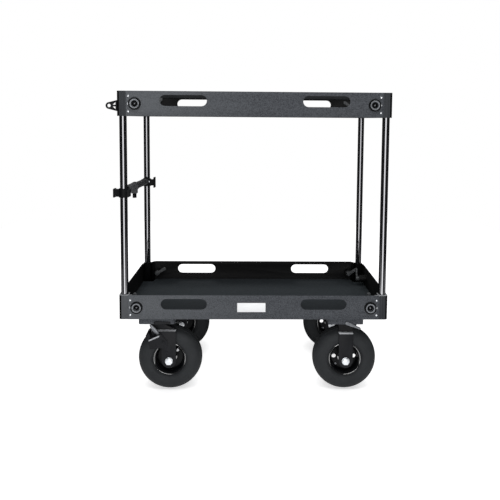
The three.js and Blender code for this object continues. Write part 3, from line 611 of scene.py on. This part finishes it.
# %% [markdown]
# ## Rims
# A small wheel rim is two pressed shells bolted back to back: rolled lips outside, a flat web in the middle,
# and the tyre's capped valve at a hole in it. The shell and the hub are spun. The web is a circle with two
# round holes in it, filled and given thickness.
# %% Rims
SWIVEL_RIM_TURN = 50
VENT_CIRCLE = 40
VENT_RADIUS = 8.6
BOLT_CIRCLE = 45
BOLT_TURN = 223
BOLT_ACROSS = 8
BOLT_HEIGHT = 4
VALVE_CIRCLE = 44
SWIVEL_VALVE_TURN = 46
FIXED_VALVE_TURN = 91
VALVE_STEM = [(0, 24), (4.4, 24), (5.4, 23), (5.4, 13), (3.4, 12.6), (3.4, -8), (0, -8)]
WEB_RADIUS = 53
WEB_HALF = 2.5
PRESSED_RING = [(48.8, 1.5), (49.4, 3.6), (50.4, 4.2), (51.4, 3.6), (52.2, 1.5), (48.8, 1.5)]


def shell_section():
    """The section of the barrel with a rolled lip at each side, closed."""
    half = [(57, 0), (57, 24), (57.8, 26), (61, 28.4), (63.4, 29.8), (64.5, 31), (64.2, 32.2), (63.2, 32.7)]
    half += [(62.2, 32.3), (54.4, 24.5), (53.4, 21), (52.6, 17), (52, 12), (52, 0)]
    other = [(radius, -station) for radius, station in reversed(half)]
    return half + other[1:-1] + half[:1]


def hub_section():
    """A hub tube with a bearing seat and a dust lip at each end, closed."""
    half = [(18, 0), (18, 44), (17, 46.4), (14, 47), (13.6, 44), (9, 43.4), (9, 0)]
    return half + [(radius, -station) for radius, station in reversed(half[:-1])][:-1] + half[:1]


def ring_of(work, radius, place, steps):
    """A ring of edges that faces along the axle."""
    made = bmesh.ops.create_circle(work, cap_ends=False, segments=steps, radius=radius * MM)
    bmesh.ops.rotate(work, verts=made["verts"], cent=(0, 0, 0), matrix=Matrix.Rotation(math.pi / 2, 3, "X"))
    bmesh.ops.translate(work, verts=made["verts"], vec=place)


def on_circle(centre, radius, degrees, station):
    """A place on a circle about the axle, at a station along it."""
    turn = math.radians(degrees)
    return centre + Vector((radius * math.cos(turn), station, radius * math.sin(turn))) * MM


def web_plate(work, centre, turn):
    """The web: a disc with two holes, filled from its rings and extruded along the axle."""
    ring_of(work, WEB_RADIUS, centre + Vector((0, -WEB_HALF, 0)) * MM, 64)
    for side in (0, 180):
        ring_of(work, VENT_RADIUS, on_circle(centre, VENT_CIRCLE, turn + side, -WEB_HALF), 24)
    filled = bmesh.ops.triangle_fill(work, use_beauty=True, edges=work.edges)
    faces = [part for part in filled["geom"] if isinstance(part, bmesh.types.BMFace)]
    grown = bmesh.ops.extrude_face_region(work, geom=faces)
    corners = [part for part in grown["geom"] if isinstance(part, bmesh.types.BMVert)]
    bmesh.ops.translate(work, verts=corners, vec=(0, 2 * WEB_HALF * MM, 0))


def hexagon(work, place, axis, across, height, edge=0.6):
    """A hexagon head or nut, across flats and high in millimetres, with its outer edges eased."""
    lie = Vector(axis).to_track_quat("Z", "X").to_matrix().to_4x4()
    radius = across / math.sqrt(3)
    made = bmesh.ops.create_cone(
        work, cap_ends=True, segments=6, radius1=radius * MM, radius2=radius * MM, depth=height * MM,
        matrix=Matrix.Translation(Vector(place) + Vector(axis) * height / 2 * MM) @ lie,
    )
    edges = dict.fromkeys(link for corner in made["verts"] for link in corner.link_edges)
    bmesh.ops.bevel(
        work, geom=list(edges), offset=edge * MM, affect="EDGES", segments=2, profile=0.5, material=-1,
    )


for wheel, box in WHEELS.items():
    centre = middle(box)
    rim = wheel + "_rim"
    start = SWIVEL_RIM_TURN if "left" in wheel else 0
    shell = bmesh.new()
    turned(shell, shell_section(), centre, (0, 1, 0), 96)
    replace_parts(done(shell, rim + "_shell", node_body[rim], wheel_gloss, 30), rim)
    hub = bmesh.new()
    turned(hub, hub_section(), centre, (0, 1, 0), 48)
    done(hub, rim + "_hub", node_body[rim], wheel_gloss, 50)
    web = bmesh.new()
    web_plate(web, centre, start)
    done(web, rim + "_web", node_body[rim], wheel_gloss, 30)
    pressing = bmesh.new()
    for side in (-1, 1):
        turned(pressing, sided(PRESSED_RING, side), centre, (0, 1, 0), 96)
    done(pressing, rim + "_pressed_ring", node_body[rim], wheel_gloss, 60)
    bolts = bmesh.new()
    for turn in (0, 180):
        for side in (-1, 1):
            place = on_circle(centre, BOLT_CIRCLE, BOLT_TURN + start + turn, side * WEB_HALF)
            hexagon(bolts, place, (0, side, 0), BOLT_ACROSS, BOLT_HEIGHT)
    done(bolts, rim + "_bolts", node_body[rim], dull, 30)
    valve = bmesh.new()
    outward = -1 if centre.y < 0 else 1
    valve_turn = SWIVEL_VALVE_TURN if "left" in wheel else FIXED_VALVE_TURN
    turned(valve, VALVE_STEM, on_circle(centre, VALVE_CIRCLE, valve_turn, 0), (0, outward, 0), 24)
    done(valve, rim + "_valve", node_body[rim], plain_white, 40)
print(len(WHEELS), "rims built")

# %% [markdown]
# ## Axle nuts
# The axle is one long bolt. Each leg has a washer on both faces and a hexagon nut outside.
# %% Axle nuts
NUT_ACROSS = 25
NUT_THICKNESS = 7
NUT_PAST_SEAT = 1
SEAT_BEFORE_END = 8
BOLT_RADIUS = 8
OUTER_WASHER = [(0, -0.2), (15, -0.2), (15, 0.8), (14.4, 1.2), (0, 1.2)]
INNER_WASHER = [(0, -9), (15, -9), (15, -8), (0, -8)]
for wheel, box in WHEELS.items():
    centre = middle(box)
    axle = wheel + "_axle"
    low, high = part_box(axle)
    work = bmesh.new()
    for side in (-1, 1):
        reach = (high.y - centre.y if side > 0 else centre.y - low.y) / MM
        seat = reach - SEAT_BEFORE_END
        for washer in (INNER_WASHER, OUTER_WASHER):
            turned(work, sided(washer, side, seat), centre, (0, 1, 0), 48)
        tip = side * (seat + NUT_PAST_SEAT)
        nut_place = centre + Vector((0, tip * MM, 0))
        hexagon(work, nut_place, (0, side, 0), NUT_ACROSS, NUT_THICKNESS, 1.0)
        turned(work, [(0, 0), (BOLT_RADIUS, 0), (BOLT_RADIUS, tip), (0, tip)], centre, (0, 1, 0), 32)
    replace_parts(done(work, axle + "_nuts", node_body[axle], zinc, 35), axle)
print(len(WHEELS), "axles with nuts")

# %% [markdown]
# ## Posts
# The posts are drawn tube. In the assembly they have flat facets, so each is spun again with a smooth wall.
# %% Posts
POST_NAMES = [name for name in nodes if name.endswith("_post")]
POST_RADIUS = 14
POST_BORE = 12
for name in POST_NAMES:
    low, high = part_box(name)
    centre = middle((low, high))
    half = (high.z - low.z) / 2 / MM
    section = [(POST_BORE, -half), (POST_RADIUS, -half), (POST_RADIUS, half), (POST_BORE, half)]
    section += section[:1]
    work = bmesh.new()
    turned(work, section, centre, (0, 0, 1), 64)
    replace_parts(done(work, name + "_tube", node_body[name], gloss, 40), name)
print(len(POST_NAMES), "posts spun")

# %% [markdown]
# ## Ports and rivets
# A port is a turned socket in a black collar. Its mouth shows as a grey ring around a dark bore, with the
# round end of the lock screw in the middle. Beside it three flat domes rivet the wall to the corner block.
# %% Ports and rivets
FLOORS = {"top": 1088.0, "bottom": 301.4}
CORNERS = [(side, end) for side in (-1, 1) for end in (-1, 1)]
PORT_PLACE = 454.7
PORT_ABOVE = 46.8
SIDE_PORT = (523, 150, 348.2)
RIVET_PLACE = 479.5
RIVET_ABOVE = 75.5
RIVET_PITCH = 29
WALL_Y = 272.5
COLLAR = [(18.2, 0), (23.4, 0), (23.4, 7.6), (22, 9), (19, 9), (18.2, 9.4), (18.2, 0)]
MOUTH = [(18.1, 4), (18.1, 9.5), (17.6, 10), (15.4, 10), (15, 9.4), (13, 9.2), (12.2, 7.6), (12.2, 4)]
MOUTH += MOUTH[:1]
BORE = [(12.1, 9), (11.4, 7), (11.4, -18), (0, -18)]
SCREW_END = [(0, 4), (1.8, 4), (3, 3.2), (3.4, 2), (3.4, -17), (0, -17)]
RIVET_DOME = [(0, 1.7), (2.6, 1.6), (3.6, 1.2), (4.2, 0.3), (4.2, -0.2)]
PORT_PARTS = {
    "collars": (COLLAR, moulding),
    "mouths": (MOUTH, turned_metal),
    "bores": (BORE, moulding),
    "pins": (SCREW_END, dull),
}


def place_at(x, y, z):
    """A place in metres from millimetres, with x from the trays' middle."""
    return Vector((x, y, z)) * MM + Vector((MIDDLE, 0, 0))


ports = [
    (floor_name, place_at(end * PORT_PLACE, side * WALL_Y, height + PORT_ABOVE), (0, side, 0))
    for floor_name, height in FLOORS.items()
    for side, end in CORNERS
]
ports.append(("bottom", place_at(*SIDE_PORT), (1, 0, 0)))
for floor_name, height in FLOORS.items():
    tray = floor_name + "_tray"
    for part, (section, finish) in PORT_PARTS.items():
        work = bmesh.new()
        for owner, place, axis in ports:
            if owner == floor_name:
                turned(work, section, place, axis, 48)
        done(work, tray + "_port_" + part, node_body[tray], finish, 35)
    work = bmesh.new()
    for side, end in CORNERS:
        for row in range(3):
            above = height + RIVET_ABOVE - row * RIVET_PITCH
            turned(work, RIVET_DOME, place_at(end * RIVET_PLACE, side * WALL_Y, above), (0, side, 0), 20)
    done(work, tray + "_rivets", node_body[tray], zinc, 60)
print(len(ports), "ports dressed")

# %% [markdown]
# ## Handle grip, clamp bolt and brake leaves
# The push bar has a ribbed rubber sleeve between the front clamp and the collar. Ribs are a zigzag profile
# spun about the bar, which falls a little towards the back. One cross bolt draws the back clamp tight. Each
# brake pedal has a domed pressed leaf above it, which is a flattened sphere.
# %% Handle and brake details
HANDLE_PLACE = (-503.5, 793.0)
HANDLE_SLOPE = -14 / 502
GRIP_FROM = -205
GRIP_TO = -62
GRIP_BORE = 14.2
GRIP_END_RADIUS = 16
RIB_PITCH = 5.5
RIB_LOW = 15.4
RIB_HIGH = 17.0
CLAMP_BOLT_PLACE = (217, 786)
CLAMP_BOLT_RADIUS = 2.6
CLAMP_BOLT_LENGTH = 34
CLAMP_HEAD_PLACE = 16
CLAMP_HEAD_ACROSS = 8
CLAMP_HEAD_HEIGHT = 3
LEAF_HALF = (30, 4, 8)
LEAF_TILT = 50
LEAF_PLACE = (-0.3690, 0.2625, 0.2535)


def on_bar(y):
    """The place on the bar's centre line at y."""
    return place_at(HANDLE_PLACE[0], y, HANDLE_PLACE[1] + HANDLE_SLOPE * y)


sleeve = [(GRIP_BORE, GRIP_FROM), (GRIP_END_RADIUS, GRIP_FROM)]
for rib in range(int((GRIP_TO - GRIP_FROM) / RIB_PITCH)):
    start = GRIP_FROM + 1 + rib * RIB_PITCH
    sleeve += [(RIB_LOW, start), (RIB_HIGH, start + 1.2), (RIB_HIGH, start + 3.4), (RIB_LOW, start + 4.4)]
sleeve += [(GRIP_END_RADIUS, GRIP_TO), (GRIP_BORE, GRIP_TO), (GRIP_BORE, GRIP_FROM)]
work = bmesh.new()
turned(work, sleeve, on_bar(0), Vector((0, 1, HANDLE_SLOPE)).normalized(), 48)
done(work, "handle_grip_sleeve", node_body["handle_bar"], grip, 50)

bolt = bmesh.new()
middle_of_bolt = place_at(HANDLE_PLACE[0], *CLAMP_BOLT_PLACE)
lie = Matrix.Translation(middle_of_bolt) @ Matrix.Rotation(math.pi / 2, 4, "Y")
bmesh.ops.create_cone(
    bolt, cap_ends=True, segments=24, radius1=CLAMP_BOLT_RADIUS * MM, radius2=CLAMP_BOLT_RADIUS * MM,
    depth=CLAMP_BOLT_LENGTH * MM, matrix=lie,
)
for end in (-1, 1):
    head = middle_of_bolt + Vector((end * CLAMP_HEAD_PLACE, 0, 0)) * MM
    hexagon(bolt, head, (end, 0, 0), CLAMP_HEAD_ACROSS, CLAMP_HEAD_HEIGHT)
done(bolt, "handle_clamp_bolt", node_body["handle_back_clamp"], zinc, 35)

for name in nodes:
    if name.endswith("_brake_lever"):
        x, y, z = LEAF_PLACE
        spot = Matrix.Translation((x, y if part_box(name)[0].y > 0 else -y, z))
        lie = Matrix.Rotation(math.radians(LEAF_TILT), 4, "Y")
        work = bmesh.new()
        bmesh.ops.create_uvsphere(
            work, u_segments=32, v_segments=20, radius=1, matrix=spot @ lie @ stretched(*LEAF_HALF),
        )
        done(work, name + "_leaf", node_body[name], dull, 60)
print("handle and brake details ready")

# %% [markdown]
# ## Corner plates
# The tray's deck is cut away for each corner block. A thin plate in the deck closes what the block leaves
# open. Each is a cube flattened to a millimetre, so it lies inside the sheet.
# %% Corner plates
PLATE_SIZE = (56, 54, 1)
PLATE_PLACE = (493, 243, 0.75)
along, deep, above = PLATE_PLACE
for floor_name, height in FLOORS.items():
    work = bmesh.new()
    for side, end in CORNERS:
        spot = Matrix.Translation(place_at(end * along, side * deep, height + above))
        bmesh.ops.create_cube(work, size=1, matrix=spot @ stretched(*PLATE_SIZE))
    tray = floor_name + "_tray"
    done(work, tray + "_corner_plates", node_body[tray], powder)
print(len(FLOORS), "sets of corner plates")

# %% [markdown]
# ## Edging on the top tray
# Through the hand slots of the top tray the back wall shows a dark edge, higher than the front wall's. It is
# rubber edging pushed over the sheet: a bar along the wall, with its edges rounded.
# %% Edging
EDGING_SIZE = (940, 7, 20)
EDGING_PLACE = (0, 271, 1183)
EDGING_ROUND = 2.4
work = bmesh.new()
spot = Matrix.Translation(place_at(*EDGING_PLACE))
bmesh.ops.create_cube(work, size=1, matrix=spot @ stretched(*EDGING_SIZE))
bmesh.ops.bevel(
    work, geom=work.edges[:], offset=EDGING_ROUND * MM, affect="EDGES", segments=3, profile=0.5, material=-1,
)
done(work, "top_tray_back_edging", node_body["top_tray"], rubber)
print("edging in place")

# %% [markdown]
# ## Floor and light
# Studio pictures of dark gear use big, soft light from the front and above, on a white sweep. The floor is
# part white glow, part plain grey that takes the soft shadow, and it glows less at the wheels. Mirrors see it
# only under and before the cart, so the posts keep their dark sides. The world is white to the camera and to
# rays that pass through things, and nearly black to the rest.
# %% Floor
FLOOR_HALF = 2.4
FLOOR_FRONT = 1.25
TRACK_HALF_SPAN = 0.202
WHEEL_SHADE = 0.02
GLOW_AT_WHEELS = 0.56
GLOW_MORE = 0.38
ALL_GLOW_FROM = 0.75
ALL_GLOW_TO = 1.5
MIRROR_BACK = 0.1
MIRROR_SIDE = 0.8
sheet = bmesh.new()
bmesh.ops.create_grid(sheet, x_segments=1, y_segments=1, size=FLOOR_HALF)
bmesh.ops.translate(sheet, verts=sheet.verts, vec=(0, FLOOR_HALF - FLOOR_FRONT, 0))
floor_mesh = bpy.data.meshes.new("floor")
sheet.to_mesh(floor_mesh)
sheet.free()
floor = bpy.data.objects.new("floor", floor_mesh)
floor.location.z = -0.0005
bpy.context.scene.collection.objects.link(floor)

paper = Finish("white_floor")
paper.set(Base_Color=grey(225, 225, 226), Roughness=0.9, Specular_IOR_Level=0.1)
dark = paper.node("ShaderNodeEmission", {}, {"Color": (1, 1, 1, 1), "Strength": 0.0})
bright = paper.node("ShaderNodeEmission", {}, {"Color": (1, 1, 1, 1), "Strength": 1.0})
from_axle = past_axle(paper)
from_track = paper.axis("Y").size() - TRACK_HALF_SPAN
off_wheels = (from_axle * from_axle + from_track * from_track).ramp(0.0, WHEEL_SHADE)
far_off = (paper.axis("X") - MIDDLE).size().most(paper.axis("Y").size()).ramp(ALL_GLOW_FROM, ALL_GLOW_TO)
share = (off_wheels * GLOW_MORE + GLOW_AT_WHEELS).most(far_off)
glow = paper.node("ShaderNodeMixShader", {}, {0: share, 1: dark.outputs[0], 2: bright.outputs[0]})
lit = paper.node("ShaderNodeAddShader", {}, {0: paper.shader.outputs[0], 1: glow.outputs[0]})
sight = paper.node("ShaderNodeLightPath", {}, {})
near = paper.axis("Y").under(MIRROR_BACK) * paper.axis("X").size().under(MIRROR_SIDE)
mirrored = Field(paper, sight.outputs["Is Glossy Ray"]) * near
seen = mirrored.most(sight.outputs["Is Camera Ray"]).most(sight.outputs["Is Transmission Ray"])
shown = paper.node("ShaderNodeMixShader", {}, {0: seen, 1: paper.shader.outputs[0], 2: lit.outputs[0]})
output = next(node for node in paper.tree.nodes if node.type == "OUTPUT_MATERIAL")
paper.join(shown.outputs[0], output.inputs["Surface"])
floor_mesh.materials.append(paper.material)

world = bpy.data.worlds.new("studio")
world.use_nodes = True
bpy.context.scene.world = world
air = world.node_tree
back = air.nodes["Background"]
back.inputs["Color"].default_value = (0.045, 0.045, 0.047, 1)
white = air.nodes.new("ShaderNodeBackground")
white.inputs["Color"].default_value = (1, 1, 1, 1)
rays = air.nodes.new("ShaderNodeLightPath")
most = air.nodes.new("ShaderNodeMath")
most.operation = "MAXIMUM"
air.links.new(rays.outputs["Is Camera Ray"], most.inputs[0])
air.links.new(rays.outputs["Is Transmission Ray"], most.inputs[1])
either = air.nodes.new("ShaderNodeMixShader")
air.links.new(most.outputs[0], either.inputs[0])
air.links.new(back.outputs[0], either.inputs[1])
air.links.new(white.outputs[0], either.inputs[2])
air.links.new(either.outputs[0], air.nodes["World Output"].inputs["Surface"])
print("floor and world ready")

# %% [markdown]
# ## Lamps
# One large softbox behind the camera gives the posts their bright line and the walls an even tone. A second
# one, high in front, draws the shadow under the cart. Weaker ones, high at the right and behind, keep those
# sides readable, and being high they stay out of the posts' reflections.
# %% Lights
def soft_light(name, place, target, width, height, power):
    """A rectangular area light in metres and watts, turned from its place to its target."""
    lamp = bpy.data.lights.new(name, "AREA")
    lamp.shape = "RECTANGLE"
    lamp.size = width
    lamp.size_y = height
    lamp.energy = power
    light = bpy.data.objects.new(name, lamp)
    aim = (Vector(target) - Vector(place)).to_track_quat("-Z", "Y").to_matrix().to_4x4()
    light.matrix_world = Matrix.Translation(place) @ aim
    bpy.context.scene.collection.objects.link(light)


soft_light("front_softbox", (-0.05, -3.3, 0.45), (-0.05, 0, 0.45), 2.2, 3.2, 78)
soft_light("top_softbox", (0, -1.7, 3.3), (0, -0.1, 0.4), 3.6, 0.7, 50)
soft_light("right_softbox", (2.9, -0.4, 3.0), (0, 0, 0.6), 1.4, 1.4, 14)
soft_light("back_softbox", (-0.8, 3.2, 2.8), (0, 0, 0.5), 2.4, 1.4, 22)
print("four soft lights")

# %% [markdown]
# ## Finish
# The scene shows its colours through the Standard view transform.
# %% Finish
scene = bpy.context.scene
scene.view_settings.view_transform = "Standard"
